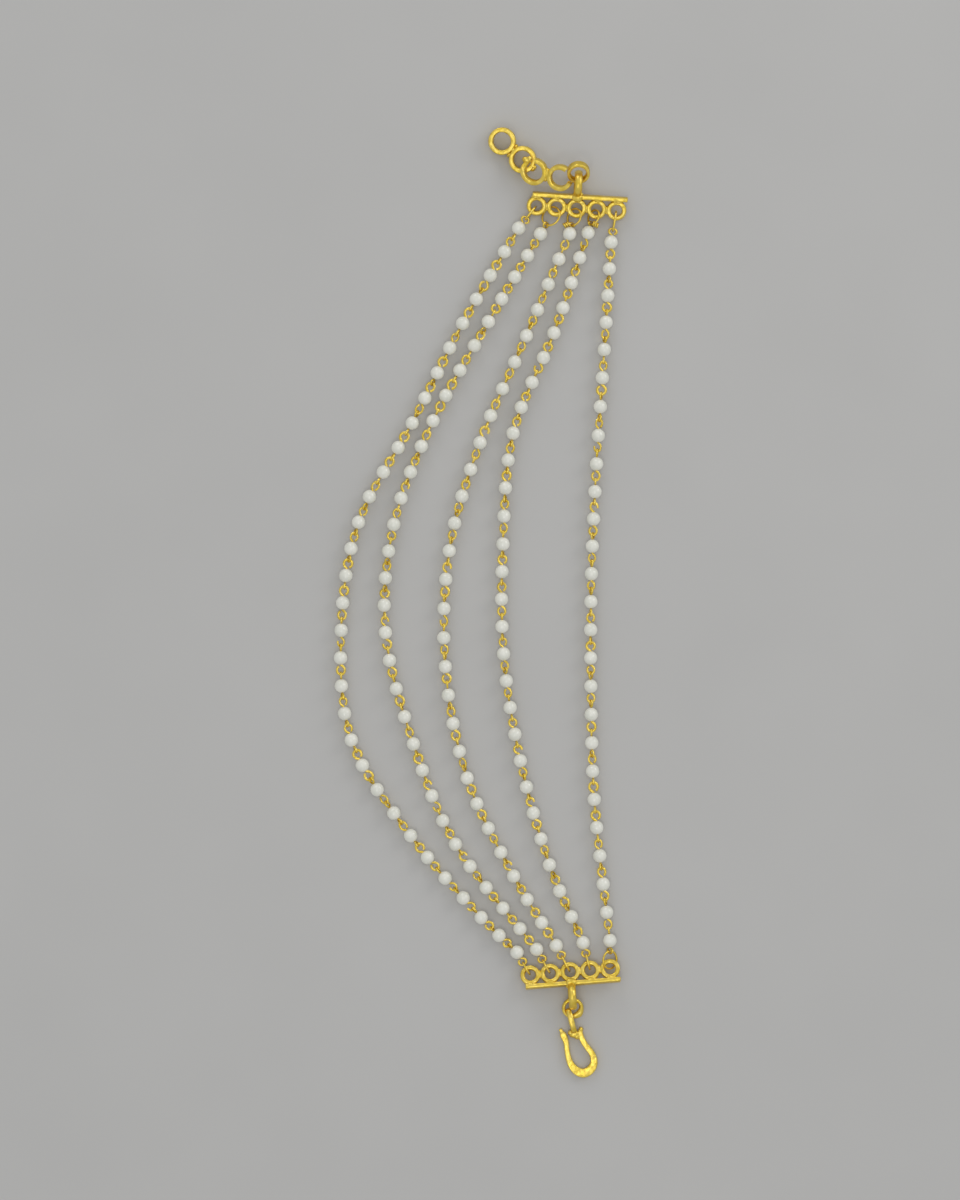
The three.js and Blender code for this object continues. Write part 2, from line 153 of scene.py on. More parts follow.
# The clasp ring's hammered side: its direction, how far out each wall is and how far it is pushed
# outward, and how large the spot under the hammer and the dented stretch are
HAMMER_SIDE = Vector((0.7, -0.7, 0)).normalized()
HAMMER_BLOWS = ({"wall": 1.95, "push": 0.34}, {"wall": 1.29, "push": -0.5})
HAMMER_SPOT = 0.2
HAMMER_SPREAD = 1.9
# How far the copies of a ring are turned, in radians, so that they don't show the same dents
BAR_RING_TURN = 1.3
SECOND_RING_TURN = 2.1

# Arcs of the opened rings in degrees, how much smaller the second is, and how the first one's end dips
OPENED_ARCS = ({"first": 140, "last": 452}, {"first": 62, "last": 346})
SECOND_SMALLER = 0.08
DIP = 0.8
DIP_SPREAD = 1.1

# How uneven each form is: depth and grain in millimetres, and a seed for where in the noise it lies
NOISE_STEP = Vector((3.1, 7.7, 5.3))
UNEVENNESS = {
    "bar": (0.05, 1.6, 3),
    "bail": (0.06, 0.9, 5),
    "bar_ring": (0.06, 0.8, 9),
    "closed_ring": (0.05, 1.0, 13),
    "opened_rings": (0.05, 1.0, 17),
    "adjuster_ring": (0.05, 0.9, 21),
    "clasp_ring": (0.05, 0.9, 23),
    "hook": (0.05, 1.1, 27),
    "hook_eye": (0.04, 0.9, 29),
}

# Drops of solder on their piece, in millimetres. Depth and grain of their unevenness are shares of
# the radius.
Drop = namedtuple("Drop", "x y z radius stretch seed")
SOLDER_DEPTH = 0.3
SOLDER_GRAIN = 1.2
# On a bar: round the bail, at each ring, where x grows from the middle ring on, and between two rings
BAIL_SOLDER = (
    Drop(0.0, -0.1, 0.62, 0.85, (1.2, 0.95, 0.62), 8),
    Drop(0.1, 0.5, 0.3, 0.8, (1.15, 0.6, 0.8), 10),
)
RING_SOLDER = (
    Drop(0.12, -0.45, 0.18, 0.6, (1.35, 0.62, 0.85), 4),
    Drop(-0.2, -0.4, 0.5, 0.3, (1.0, 1.0, 0.8), 21),
)
NEIGHBOUR_SOLDER = (
    Drop(0.0, -2.0, 0.08, 0.46, (0.72, 1.5, 0.9), 12),
    Drop(0.1, -2.55, 0.2, 0.28, (0.9, 1.0, 0.9), 31),
)
# On the adjuster's links: between the two rings, where x counts from the middle, and at an end
CLOSED_RIBS = (
    Drop(0.0, 0.95, 0.1, 0.42, (0.75, 1.2, 1.5), 31),
    Drop(0.0, 0.2, 0.5, 0.36, (1.1, 1.1, 1.1), 33),
    Drop(0.05, -0.95, 0.0, 0.46, (0.8, 1.2, 1.5), 32),
)
CLOSED_END = Drop(7.4, 0.2, 0.5, 0.5, (0.95, 1.35, 1.0), 34)
OPENED_SADDLE = (
    Drop(0.0, 0.25, 0.1, 0.7, (0.72, 1.5, 0.95), 41),
    Drop(-0.1, -0.85, 0.2, 0.42, (1.0, 1.1, 1.0), 43),
)
OPENED_END = (
    Drop(-1.85, 1.55, -0.45, 0.66, (1.25, 0.95, 0.85), 45),
    Drop(-1.3, 1.9, -0.4, 0.45, (1.0, 1.2, 0.9), 46),
)
# The lumps that join the hook's eye and its bend, the ball at their free end and the bend's nub
HOOK_SOLDER = (
    Drop(16.95, -77.6, 0.62, 0.68, (1.6, 0.95, 0.88), 51),
    Drop(17.45, -77.95, 0.62, 0.62, (1.15, 1.0, 0.9), 54),
    Drop(16.15, -77.35, 0.62, 0.5, (1.0, 1.0, 1.05), 52),
    Drop(18.05, -76.75, 0.62, 0.42, (0.95, 1.15, 1.1), 53),
)

# Centreline of the hook from its nub round the bend to its tip, the hammered width and the thickness
HOOK_ROUTE = (
    (18.05, -76.55, 0.66, 0.75), (17.95, -77.7, 1.0, 1.0), (18.75, -79.4, 0.98, 1.06),
    (20.0, -81.05, 1.08, 1.06), (20.4, -82.6, 1.3, 1.0), (19.8, -83.9, 1.55, 0.9),
    (18.5, -84.6, 1.66, 0.86), (17.1, -84.05, 1.45, 0.92), (16.1, -82.7, 1.15, 1.0),
    (15.6, -80.8, 0.92, 1.04), (15.4, -79.1, 0.98, 1.0), (14.98, -78.0, 1.16, 0.95),
    (14.72, -77.45, 1.0, 0.8), (14.56, -77.15, 0.6, 0.6), (14.32, -76.65, 0.64, 0.6),
)
HOOK_LEVEL = 0.56
HOOK_EDGE = 0.26

# The lamps: where each hangs in metres, the size of its disk and its power in watts
LAMPS = {
    "overhead_light": {"spot": (0.0, -0.02, 0.78), "size": 0.50, "power": 0.56},
    "key_light": {"spot": (-0.05, -0.20, 0.50), "size": 0.09, "power": 0.16},
    "side_light": {"spot": (0.45, 0.30, 0.30), "size": 0.30, "power": 0.5},
    "far_light": {"spot": (-0.15, 0.60, 0.25), "size": 0.30, "power": 0.5},
}
SKY_COLOUR = (0.93, 0.96, 1.0, 1.0)
SKY_STRENGTH = 0.58
# The floor: its side in metres, how far below the surface it lies, and its darker clouds
FLOOR_SIDE = 3.0
FLOOR_DROP = 0.02
FLOOR_CLOUDS = {"size": 30.0, "tone": 0.94}

# The finishes: how sharply the second colour's clouds stand out and where they begin, the least
# roughness, what wear adds to it, and the depth of the relief in millimetres
GOLD = {"contrast": 2.4, "onset": 0.75, "roughness": 0.24, "wear": 0.28, "relief": 0.13}
PEARL = {"contrast": 1.8, "onset": 0.45, "roughness": 0.24, "wear": 0.2, "relief": 0.02}


def measure(name, description, millimetres):
    return FloatProperty(name=name, description=description, default=millimetres * MM, unit="LENGTH")


def tone(name, description, values):
    return FloatVectorProperty(name=name, description=description, default=values, subtype="COLOR")


class EARCHAIN_PG_strands(bpy.types.PropertyGroup):
    """Sizes of the pearls and of the wire that joins them."""

    pearl_diameter: measure("Pearl", "Diameter of a pearl", 2.47)
    wire_diameter: measure("Wire", "Diameter of the wire of the eyes", 0.37)
    eye_width: measure("Eye", "Width of an eye at its middle, to the wire's centre", 1.2)
    pearl_sides: IntProperty(name="Pearl Sides", description="Sides round a pearl", default=18, min=8)
    seed: IntProperty(name="Seed", description="Which way each eye is turned", default=11)


class EARCHAIN_PG_bars(bpy.types.PropertyGroup):
    """Sizes of an end bar, its rings and its bail."""

    length: measure("Length", "Length of a bar", 17)
    width: measure("Width", "Width of a bar", 0.75)
    depth: measure("Depth", "Depth of a bar", 1.6)
    ring_outer: measure("Ring", "Outer radius of a ring on the bar", 1.78)
    ring_hole: measure("Hole", "Radius of a ring's hole", 1.0)
    ring_depth: measure("Ring Depth", "Depth of a ring", 1.0)
    ring_pitch: measure("Pitch", "Step from ring to ring", 3.57)
    ring_offset: measure("Offset", "From the bar's middle to the rings'", 2.05)
    bail_length: measure("Bail Length", "Half the length of the bail", 1.9)
    bail_height: measure("Bail Height", "Half the height of the bail", 2.2)
    bail_wire: measure("Bail Wire", "Radius of the bail's wire", 0.5)
    bail_broad: FloatProperty(
        name="Bail Breadth", description="How much broader than thick the bail's wire is", default=1.42)
    bail_offset: measure("Bail Offset", "From the bar's middle to the bail's", 2.35)


class EARCHAIN_PG_adjuster(bpy.types.PropertyGroup):
    """Sizes of the soldered rings of the adjuster."""

    wall: measure("Wall", "Wall of a ring", 0.83)
    closed_radius: measure("Closed Rings", "Outer radius of the closed rings", 2.44)
    closed_depth: measure("Closed Depth", "Depth of the closed rings", 1.78)
    closed_apart: measure("Closed Apart", "Step from one closed ring to the other", 4.9)
    opened_radius: measure("Opened Rings", "Outer radius of the opened rings", 2.45)
    opened_depth: measure("Opened Depth", "Depth of the opened rings", 1.38)
    opened_apart: measure("Opened Apart", "Step from one opened ring to the other", 4.84)
    edge: measure("Edge", "Rounding of the edges", 0.2)


class EARCHAIN_PG_finish(bpy.types.PropertyGroup):
    """Colours of the plating and of the pearls."""

    gold_bright: tone("Gold", "Plating where it is rubbed bright", (0.97, 0.73, 0.16))
    gold_deep: tone("Deep Gold", "Plating where it is thick", (0.82, 0.58, 0.06))
    pearl_light: tone("Pearl", "Colour of most of a pearl", (0.93, 0.90, 0.80))
    pearl_dark: tone("Pearl Shade", "Greener clouds in a pearl", (0.76, 0.76, 0.65))


class EARCHAIN_PG_stage(bpy.types.PropertyGroup):
    """Floor, light and camera."""

    camera_height: FloatProperty(
        name="Camera Height", description="Height of the camera over the surface", default=0.6, unit="LENGTH")
    frame_height: measure("Frame Height", "Height of the framed surface", 214.3)
    floor_colour: tone("Floor", "Colour of the surface", (0.55, 0.535, 0.51))


class EARCHAIN_PG_settings(bpy.types.PropertyGroup):
    """All that a user would change on the ear chain."""

    strands: PointerProperty(type=EARCHAIN_PG_strands)
    bars: PointerProperty(type=EARCHAIN_PG_bars)
    adjuster: PointerProperty(type=EARCHAIN_PG_adjuster)
    finish: PointerProperty(type=EARCHAIN_PG_finish)
    stage: PointerProperty(type=EARCHAIN_PG_stage)


def settings():
    return bpy.context.scene.ear_chain


# Places and shared modelling steps

def laid(place):
    """Matrix that leans a thing about its own X axis, tilts it, turns it and puts it in its place."""
    spot = (Vector((place["x"], place["y"], place["z"])) + ORIGIN_SHIFT) * MM
    heading = Matrix.Rotation(math.radians(place.get("heading", 0)), 4, "Z")
    tilt = Matrix.Rotation(math.radians(place.get("tilt", 0)), 4, "Y")
    lean = Matrix.Rotation(math.radians(place.get("lean", 0)), 4, "X")
    return Matrix.Translation(spot) @ heading @ tilt @ lean


def put_down(piece, matrix):
    """Puts the piece in its place and leaves its object at the origin."""
    piece.data.transform(matrix)
    piece.data.update()


def alone(piece):
    """Makes this piece the only one selected."""
    bpy.ops.object.select_all(action="DESELECT")
    piece.select_set(True)
    bpy.context.view_layer.objects.active = piece


def start(add, **size):
    """Adds a primitive with nothing else selected."""
    bpy.ops.object.select_all(action="DESELECT")
    add(**size)
    return bpy.context.object


def joined(pieces):
    """Joins the pieces into the first of them."""
    alone(pieces[0])
    for piece in pieces:
        piece.select_set(True)
    if len(pieces) > 1:
        bpy.ops.object.join()
    return bpy.context.object


def copy_of(piece, matrix):
    """A copy with a mesh of its own, moved by the matrix."""
    twin = piece.copy()
    twin.data = piece.data.copy()
    bpy.context.scene.collection.objects.link(twin)
    twin.data.transform(matrix)
    return twin


def discard(pieces):
    for piece in pieces:
        mesh = piece.data
        bpy.data.objects.remove(piece)
        bpy.data.meshes.remove(mesh)


def edit(piece):
    alone(piece)
    bpy.ops.object.mode_set(mode="EDIT")


def leave_edit():
    bpy.ops.object.mode_set(mode="OBJECT")


def pick(piece, kind, test):
    """Selects the faces, edges or points of the piece in edit mode that pass the test."""
    bpy.ops.mesh.select_mode(type={"faces": "FACE", "edges": "EDGE", "verts": "VERT"}[kind])
    bpy.ops.mesh.select_all(action="DESELECT")
    mesh = bmesh.from_edit_mesh(piece.data)
    for element in getattr(mesh, kind):
        element.select_set(bool(test(element)))
    mesh.select_flush_mode()
    bmesh.update_edit_mesh(piece.data)


def smooth(piece, degrees=40):
    alone(piece)
    bpy.ops.object.shade_smooth_by_angle(angle=math.radians(degrees))


def apply_modifier(piece, kind, **values):
    """Adds a modifier with these values and applies it."""
    alone(piece)
    bpy.ops.object.modifier_add(type=kind)
    modifier = piece.modifiers[-1]
    for key, value in values.items():
        setattr(modifier, key, value)
    bpy.ops.object.modifier_apply(modifier=modifier.name)


def roughen(piece, depth, grain, seed):
    """Gives the surface shallow unevenness: depth and grain size in millimetres."""
    clouds = bpy.data.textures.new("unevenness", type="CLOUDS")
    clouds.noise_scale = grain * MM
    clouds.noise_depth = 1
    where = bpy.data.objects.new("unevenness_middle", None)
    where.location = NOISE_STEP * MM * seed
    bpy.context.scene.collection.objects.link(where)
    bpy.context.view_layer.update()
    apply_modifier(
        piece, "DISPLACE", texture=clouds, strength=depth * MM, mid_level=0.5,
        texture_coords="OBJECT", texture_coords_object=where)
    bpy.data.objects.remove(where)
    bpy.data.textures.remove(clouds)


def hand_in(piece, name, nodes, material):
    """Names the piece, gives it its finish, hangs it under the root body and hides the solids it stands for.
    """
    piece.name = name
    piece.data.name = name
    piece.data.materials.clear()
    piece.data.materials.append(material)
    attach(piece, "root")
    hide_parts(*nodes)


# Forms that the pieces share

def band_ring(outer, hole, depth, edge, sides=44):
    """A closed flat-faced ring round Z: a cylinder opened by an inset and a bridge, edges rounded."""
    ring = start(bpy.ops.mesh.primitive_cylinder_add, vertices=sides, radius=outer, depth=depth)
    edit(ring)
    pick(ring, "faces", lambda face: abs(face.normal.z) > 0.9)
    bpy.ops.mesh.inset(thickness=outer - hole)
    bpy.ops.mesh.bridge_edge_loops()
    level = depth / 2 - 1e-6
    pick(ring, "edges", lambda rim: all(abs(end.co.z) > level for end in rim.verts)
         and abs(rim.verts[0].co.xy.length - rim.verts[1].co.xy.length) < 1e-6)
    bpy.ops.mesh.bevel(offset=edge, segments=3)
    leave_edit()
    return ring


def opened_band(outer, wall, depth, edge, first, last, steps=26):
    """A band ring cut open: its rounded section spun round Z from one angle to the other."""
    band = start(bpy.ops.mesh.primitive_plane_add, size=1, rotation=(math.pi / 2, 0, 0))
    bpy.ops.object.transform_apply(rotation=True)
    edit(band)
    bpy.ops.mesh.select_all(action="SELECT")
    bpy.ops.transform.resize(value=(wall, 1, depth))
    bpy.ops.mesh.bevel(offset=edge, segments=2, affect="VERTICES")
    bpy.ops.mesh.select_all(action="SELECT")
    bpy.ops.transform.translate(value=(outer - wall / 2, 0, 0))
    leave_edit()
    band.data.transform(Matrix.Rotation(math.radians(first), 4, "Z"))
    edit(band)
    bpy.ops.mesh.select_all(action="SELECT")
    bpy.ops.mesh.spin(
        steps=steps, angle=TURN * math.radians(last - first), center=(0, 0, 0), axis=(0, 0, 1))
    bpy.ops.mesh.select_all(action="SELECT")
    bpy.ops.mesh.remove_doubles(threshold=1e-7)
    bpy.ops.mesh.normals_make_consistent(inside=False)
    leave_edit()
    return band


def drawn(section, route, widths=None, thicknesses=None):
    """Draws a section that faces along +X, and lies at the route's start, along the route in the XY plane."""
    points = [Vector((x, y, 0)) for x, y in route]
    headings = []
    for i, point in enumerate(points):
        before = points[max(i - 1, 0)]
        after = points[min(i + 1, len(points) - 1)]
        headings.append(math.atan2(after.y - before.y, after.x - before.x))
    section.data.transform(Matrix.Translation(points[0]) @ Matrix.Rotation(headings[0], 4, "Z"))
    edit(section)
    bpy.ops.mesh.select_mode(type="FACE")
    bpy.ops.mesh.select_all(action="SELECT")
    for i in range(1, len(points)):
        bpy.ops.mesh.extrude_region_move(TRANSFORM_OT_translate={"value": points[i] - points[i - 1]})
        turn = (headings[i] - headings[i - 1] + math.pi) % (2 * math.pi) - math.pi
        bpy.ops.transform.rotate(
            value=TURN * turn, orient_axis="Z", orient_type="GLOBAL", center_override=points[i])
        if widths:
            across = widths[i] / widths[i - 1]
            high = thicknesses[i] / thicknesses[i - 1]
            bpy.ops.transform.resize(value=(across, across, high), center_override=points[i])
    bpy.ops.mesh.select_all(action="SELECT")
    bpy.ops.mesh.normals_make_consistent(inside=False)
    leave_edit()
    return section


def round_section(radius, sides):
    """A wire's cut end, facing along +X."""
    section = start(
        bpy.ops.mesh.primitive_circle_add, vertices=sides, radius=radius, fill_type="NGON",
        rotation=(0, math.pi / 2, 0))
    bpy.ops.object.transform_apply(rotation=True)
    return section


def wire_loop(half_length, half_height, radius, broad=1.0, sides=10, segments=32):
    """A closed wire loop in the XY plane: a torus drawn out to an oval, its wire round or broad."""
    loop = start(
        bpy.ops.mesh.primitive_torus_add, major_radius=half_length, minor_radius=radius,
        major_segments=segments, minor_segments=sides)
    edit(loop)
    bpy.ops.mesh.select_all(action="SELECT")
    bpy.ops.transform.resize(value=(1, half_height / half_length, broad), center_override=(0, 0, 0))
    leave_edit()
    return loop


def smooth_route(rows, steps):
    """Rows of numbers with more rows between them, on one smooth curve through all of them."""
    finer = []
    for i in range(len(rows) - 1):
        ends = [rows[max(i - 1, 0)], rows[i], rows[i + 1], rows[min(i + 2, len(rows) - 1)]]
        for step in range(steps):
            u = step / steps
            row = []
            for before, near, far, after in zip(*ends):
                row.append(near + u / 2 * (
                    far - before + u * (2 * before - 5 * near + 4 * far - after
                                        + u * (3 * near - before - 3 * far + after))))
            finer.append(row)
    finer.append(list(rows[-1]))
    return finer


def solder(drop, shift_x=0.0, shift_y=0.0):
    """A frozen drop of solder: a ball squashed to its joint, made uneven and put down with this shift."""
    ball = start(bpy.ops.mesh.primitive_uv_sphere_add, segments=14, ring_count=9, radius=drop.radius * MM)
    edit(ball)
    bpy.ops.mesh.select_all(action="SELECT")
    bpy.ops.transform.resize(value=drop.stretch, center_override=(0, 0, 0))
    leave_edit()
    roughen(ball, drop.radius * SOLDER_DEPTH, drop.radius * SOLDER_GRAIN, drop.seed)
    put_down(ball, Matrix.Translation(Vector((drop.x + shift_x, drop.y + shift_y, drop.z)) * MM))
    return ball


# Pearls and eyes

def pearl_centres(route):
    """Middle of each pearl on a strand, in millimetres: a smooth curve through the strand's route."""
    spots = [Vector((x, y)) for _, x, y in route]
    numbers = [number for number, _, _ in route]

    def slope(row):
        before = max(row - 1, 0)
        after = min(row + 1, len(route) - 1)
        return (spots[after] - spots[before]) / (numbers[after] - numbers[before])

    centres = []
    for row in range(len(route) - 1):
        span = numbers[row + 1] - numbers[row]
        last = span + 1 if row == len(route) - 2 else span
        for step in range(last):
            u = step / span
            share = u * u * (3 - 2 * u)
            spot = (spots[row] * (1 - share) + spots[row + 1] * share
                    + slope(row) * (u * (1 - u) ** 2 * span)
                    + slope(row + 1) * (u * u * (u - 1) * span))
            centres.append(Vector((spot.x, spot.y, PEARL_LEVEL)))
    return centres


def along(centre, direction, roll):
    """Matrix that sends +X along the direction from the centre, rolled about it. Lengths are millimetres."""
    across = Vector((0, 0, 1)).cross(direction).normalized()
    up = direction.cross(across)
    turn = Matrix((direction, across, up)).transposed().to_4x4()
    spot = (centre + ORIGIN_SHIFT) * MM
    return Matrix.Translation(spot) @ turn @ Matrix.Rotation(roll, 4, "X")


def drilled_pearl(diameter, sides, seed):
    """A pearl drilled along X: a sphere whose poles are pushed in as the hole's mouths, slightly uneven."""
    rings = sides * 3 // 5
    pearl = start(
        bpy.ops.mesh.primitive_uv_sphere_add, segments=sides, ring_count=rings, radius=diameter / 2)
    edit(pearl)
    pole = diameter / 2 * math.cos(math.pi / rings)
    for side in (1, -1):
        pick(pearl, "faces", lambda face: side * face.calc_center_median().z > pole)
        bpy.ops.mesh.inset(thickness=diameter * PEARL_MOUTH)
        bpy.ops.transform.translate(value=(0, 0, -side * diameter * PEARL_RECESS))
    leave_edit()
    roughen(pearl, diameter / MM * PEARL_DEPTH, diameter / MM * PEARL_GRAIN, seed)
    put_down(pearl, Matrix.Rotation(math.pi / 2, 4, "Y"))
    return pearl


def wire_eye(wire, width, closed):
    """An eye bent from a pearl's wire to a drop's shape, the pearl's centre at the origin."""
    radius = width / 2
    middle = EYE_REACH * MM - radius
    route = [(x * MM, y * MM) for x, y in EYE_SHANK]
    last = EYE_BEND["closed"] if closed else EYE_BEND["gaping"]
    for angle in range(EYE_BEND["first"], last - 1, -EYE_BEND["step"]):
        turn = math.radians(angle)
        route.append((middle + radius * math.cos(turn), radius * math.sin(turn)))
    if closed:
        route.append((EYE_NECK[0] * MM, EYE_NECK[1] * MM))
    return drawn(round_section(wire / 2, sides=6), route)


def stretched_eye(reach, breadth):
    """Matrix that draws an eye out until its far end is at this reach, in millimetres, and broadens it."""
    surface = Matrix.Translation((PEARL_SURFACE * MM, 0, 0))
    length = (reach - PEARL_SURFACE) / (EYE_REACH - PEARL_SURFACE)
    return surface @ Matrix.Diagonal((length, breadth, 1, 1)) @ surface.inverted()


class EARCHAIN_OT_strands(bpy.types.Operator):
    """Strings the pearls of each strand on their wire eyes"""

    bl_idname = "ear_chain.strands"
    bl_label = "Pearl Strands"

    def execute(self, context):
        sizes = settings().strands
        chance = random.Random(sizes.seed)
        pearls = [
            drilled_pearl(sizes.pearl_diameter, sizes.pearl_sides, seed=shape + 1)
            for shape in range(PEARL_SHAPES)
        ]
        closed = wire_eye(sizes.wire_diameter, sizes.eye_width, closed=True)
        gaping = wire_eye(sizes.wire_diameter, sizes.eye_width, closed=False)
        for number, route in enumerate(STRAND_ROUTES, 1):
            centres = pearl_centres(route)
            self.string_pearls(number, centres, pearls, chance)
            self.bend_eyes(number, centres, closed, gaping, chance)
        discard([*pearls, closed, gaping])
        return {"FINISHED"}

    def string_pearls(self, number, centres, pearls, chance):
        """Copies the pearls to their places on the strand, each with its holes along it."""
        strung = []
        for i, centre in enumerate(centres):
            before = centres[max(i - 1, 0)]
            after = centres[min(i + 1, len(centres) - 1)]
            place = along(centre, (after - before).normalized(), chance.uniform(0, math.tau))
            strung.append(copy_of(chance.choice(pearls), place))
        strand = joined(strung)
        smooth(strand, 50)
        hand_in(strand, f"strand_{number}_pearls", [f"strand_{number}"], pearl_finish())

    def bend_eyes(self, number, centres, closed, gaping, chance):
        """Hooks a flat and an upright eye together between pearls, and an eye round the loop at each end."""
        eyes = []
        for near, far in zip(centres, centres[1:]):
            ends = [near, far]
            chance.shuffle(ends)
            run = (ends[1] - ends[0]).normalized()
            reach = (far - near).length / 2 + EYE_OVERLAP
            shift = chance.uniform(*EYE_SHIFTS)
            roll = chance.uniform(-JOINT_ROLL, JOINT_ROLL)
            flat = gaping if chance.random() < GAPING_SHARE else closed
            flat_shape = stretched_eye(reach + shift, chance.uniform(*FLAT_EYES))
            eyes.append(copy_of(flat, along(ends[0], run, roll) @ flat_shape))
            upright_roll = math.pi / 2 - roll + chance.uniform(-UPRIGHT_ROLL, UPRIGHT_ROLL)
            upright_shape = stretched_eye(reach - shift, chance.uniform(*UPRIGHT_EYES))
            eyes.append(copy_of(closed, along(ends[1], -run, upright_roll) @ upright_shape))
        for bar, centre in (("top", centres[0]), ("bottom", centres[-1])):
            loop = end_loop_place(bar, number, centre)
            heading = math.radians(loop["heading"])
            away = -Vector((math.cos(heading), math.sin(heading), 0))
            level = Vector((centre.x, centre.y, LOOP_LEVEL))
            roll = math.radians(90 - loop["lean"])
            shape = stretched_eye(loop["eye_gap"] + BEHIND_LOOP, END_EYE_BREADTH)
            eyes.append(copy_of(closed, along(level, away, roll) @ shape))
        links = joined(eyes)
        smooth(links, 60)
        hand_in(links, f"strand_{number}_eyes", [f"strand_{number}"], gold_finish())


# Loops at the strands' ends

def ring_middle(bar, number):
    """Middle of the bar ring that holds this strand, in millimetres."""
    place = END_BARS[bar]
    sizes = settings().bars
    middle = (STRAND_COUNT + 1) // 2
    across = place["row_shift"] * MM + place["side"] * (number - middle) * sizes.ring_pitch
    return laid(place) @ Vector((across, -sizes.ring_offset, 0)) / MM - ORIGIN_SHIFT


def end_loop_place(bar, number, centre):
    """Where the loop between a bar's ring and the last pearl lies, and how long and high it is."""
    reach, eye_gap, upright = END_LOOPS[bar][number - 1]
    hole = ring_middle(bar, number)
    run = Vector((centre.x - hole.x, centre.y - hole.y))
    half_length = (run.length - eye_gap - reach) / 2
    direction = run.normalized()
    lean = 90 if upright else math.degrees(math.asin(min(1, LOOP_HALF_HEIGHT / half_length)))
    return {
        "x": hole.x + direction.x * (reach + half_length),
        "y": hole.y + direction.y * (reach + half_length),
        "z": LOOP_LEVEL,
        "heading": math.degrees(math.atan2(direction.y, direction.x)),
        "lean": lean,
        "half_length": half_length,
        "half_height": LOOP_HALF_HEIGHT if upright else half_length,
        "eye_gap": eye_gap,
    }


class EARCHAIN_OT_end_loops(bpy.types.Operator):
    """Hangs the wire loops between the bars' rings and the strands"""

    bl_idname = "ear_chain.end_loops"
    bl_label = "End Loops"

    def execute(self, context):
        wire = settings().strands.wire_diameter
        for number, route in enumerate(STRAND_ROUTES, 1):
            centres = pearl_centres(route)
            for bar, centre in (("top", centres[0]), ("bottom", centres[-1])):
                place = end_loop_place(bar, number, centre)
                node = f"{bar}_loop_{number}"
                loop = wire_loop(place["half_length"] * MM, place["half_height"] * MM, wire / 2)
                put_down(loop, laid(place))
                curl = self.curled_end(CURLED_ENDS[node], wire) if node in CURLED_ENDS else []
                loop = joined([loop, *curl])
                smooth(loop, 60)
                hand_in(loop, f"{node}_wire", [node], gold_finish())
        return {"FINISHED"}

    def curled_end(self, row, wire):
        """Small upright turns of wire side by side, where a loop's end is curled up."""
        run_x = row["end_x"] - row["x"]
        run_y = row["end_y"] - row["y"]
        heading = math.degrees(math.atan2(run_y, run_x)) + 90
        turns = []
        for i in range(CURL["turns"]):
            share = i / (CURL["turns"] - 1)
            turn = wire_loop(
                CURL["half_length"] * MM, CURL["half_height"] * MM, wire * CURL["wire"], segments=16, sides=8)
            place = {
                "x": row["x"] + share * run_x, "y": row["y"] + share * run_y, "z": CURL["level"],
                "heading": heading + CURL["slant"], "lean": 90}
            put_down(turn, laid(place))
            turns.append(turn)
        return turns


# End bars

class EARCHAIN_OT_end_bars(bpy.types.Operator):
    """Solders five rings and a bail to each end bar"""

    bl_idname = "ear_chain.end_bars"
    bl_label = "End Bars"

    def execute(self, context):
        for bar, place in END_BARS.items():
            parts = [self.bar_rod(), self.bail(place["row_shift"])]
            parts += self.ring_row(place["row_shift"])
            whole = joined(parts)
            put_down(whole, laid(place))
            smooth(whole)
            hand_in(whole, f"{bar}_bar_gold", [f"{bar}_bar"], gold_finish())
        return {"FINISHED"}

    def bar_rod(self):
        """The bar itself: a box with rounded edges and ends, cut into lengths so that it can be uneven."""
        sizes = settings().bars
        rod = start(bpy.ops.mesh.primitive_cube_add, size=1)
        edit(rod)
        bpy.ops.mesh.select_all(action="SELECT")
        bpy.ops.transform.resize(value=(sizes.length, sizes.width, sizes.depth), center_override=(0, 0, 0))
        pick(rod, "edges", lambda side: True)
        bpy.ops.mesh.bevel(offset=BAR_EDGE * MM, segments=3)
        for i in range(1 - BAR_LENGTHS // 2, BAR_LENGTHS // 2):
            bpy.ops.mesh.select_all(action="SELECT")
            bpy.ops.mesh.bisect(plane_co=(i * sizes.length / BAR_LENGTHS, 0, 0), plane_no=(1, 0, 0))
        leave_edit()
        roughen(rod, *UNEVENNESS["bar"])
        return rod

    def bail(self, row_shift):
        """The upright bail at the bar's outer side, broad like hammered wire, with solder round its foot."""
        sizes = settings().bars
        bail = wire_loop(
            sizes.bail_length, sizes.bail_height, sizes.bail_wire, sizes.bail_broad, sides=14, segments=40)
        upright = Matrix.Rotation(math.pi / 2, 4, "Z") @ Matrix.Rotation(math.pi / 2, 4, "X")
        put_down(bail, Matrix.Translation((row_shift * MM, sizes.bail_offset, 0)) @ upright)
        roughen(bail, *UNEVENNESS["bail"])
        return joined([bail, *(solder(drop, shift_x=row_shift) for drop in BAIL_SOLDER)])

    def ring_row(self, row_shift):
        """Five rings side by side, with solder at the bar and between neighbours."""
        sizes = settings().bars
        ring = band_ring(
            sizes.ring_outer, sizes.ring_hole, sizes.ring_depth, BAR_RING_EDGE * MM, sides=36)
        roughen(ring, *UNEVENNESS["bar_ring"])
        outermost = STRAND_COUNT // 2
        parts = []
        for i in range(-outermost, outermost + 1):
            x = row_shift * MM + i * sizes.ring_pitch
            spin = Matrix.Rotation(BAR_RING_TURN * i, 4, "Z")
            parts.append(copy_of(ring, Matrix.Translation((x, -sizes.ring_offset, 0)) @ spin))
            for drop in RING_SOLDER:
                parts.append(solder(drop._replace(x=drop.x * i, seed=drop.seed + i), shift_x=x / MM))
        for i in range(-outermost, outermost):
            x = row_shift * MM + (i + 0.5) * sizes.ring_pitch
            for drop in NEIGHBOUR_SOLDER:
                parts.append(solder(drop._replace(seed=drop.seed + i), shift_x=x / MM))
        discard([ring])
        return parts


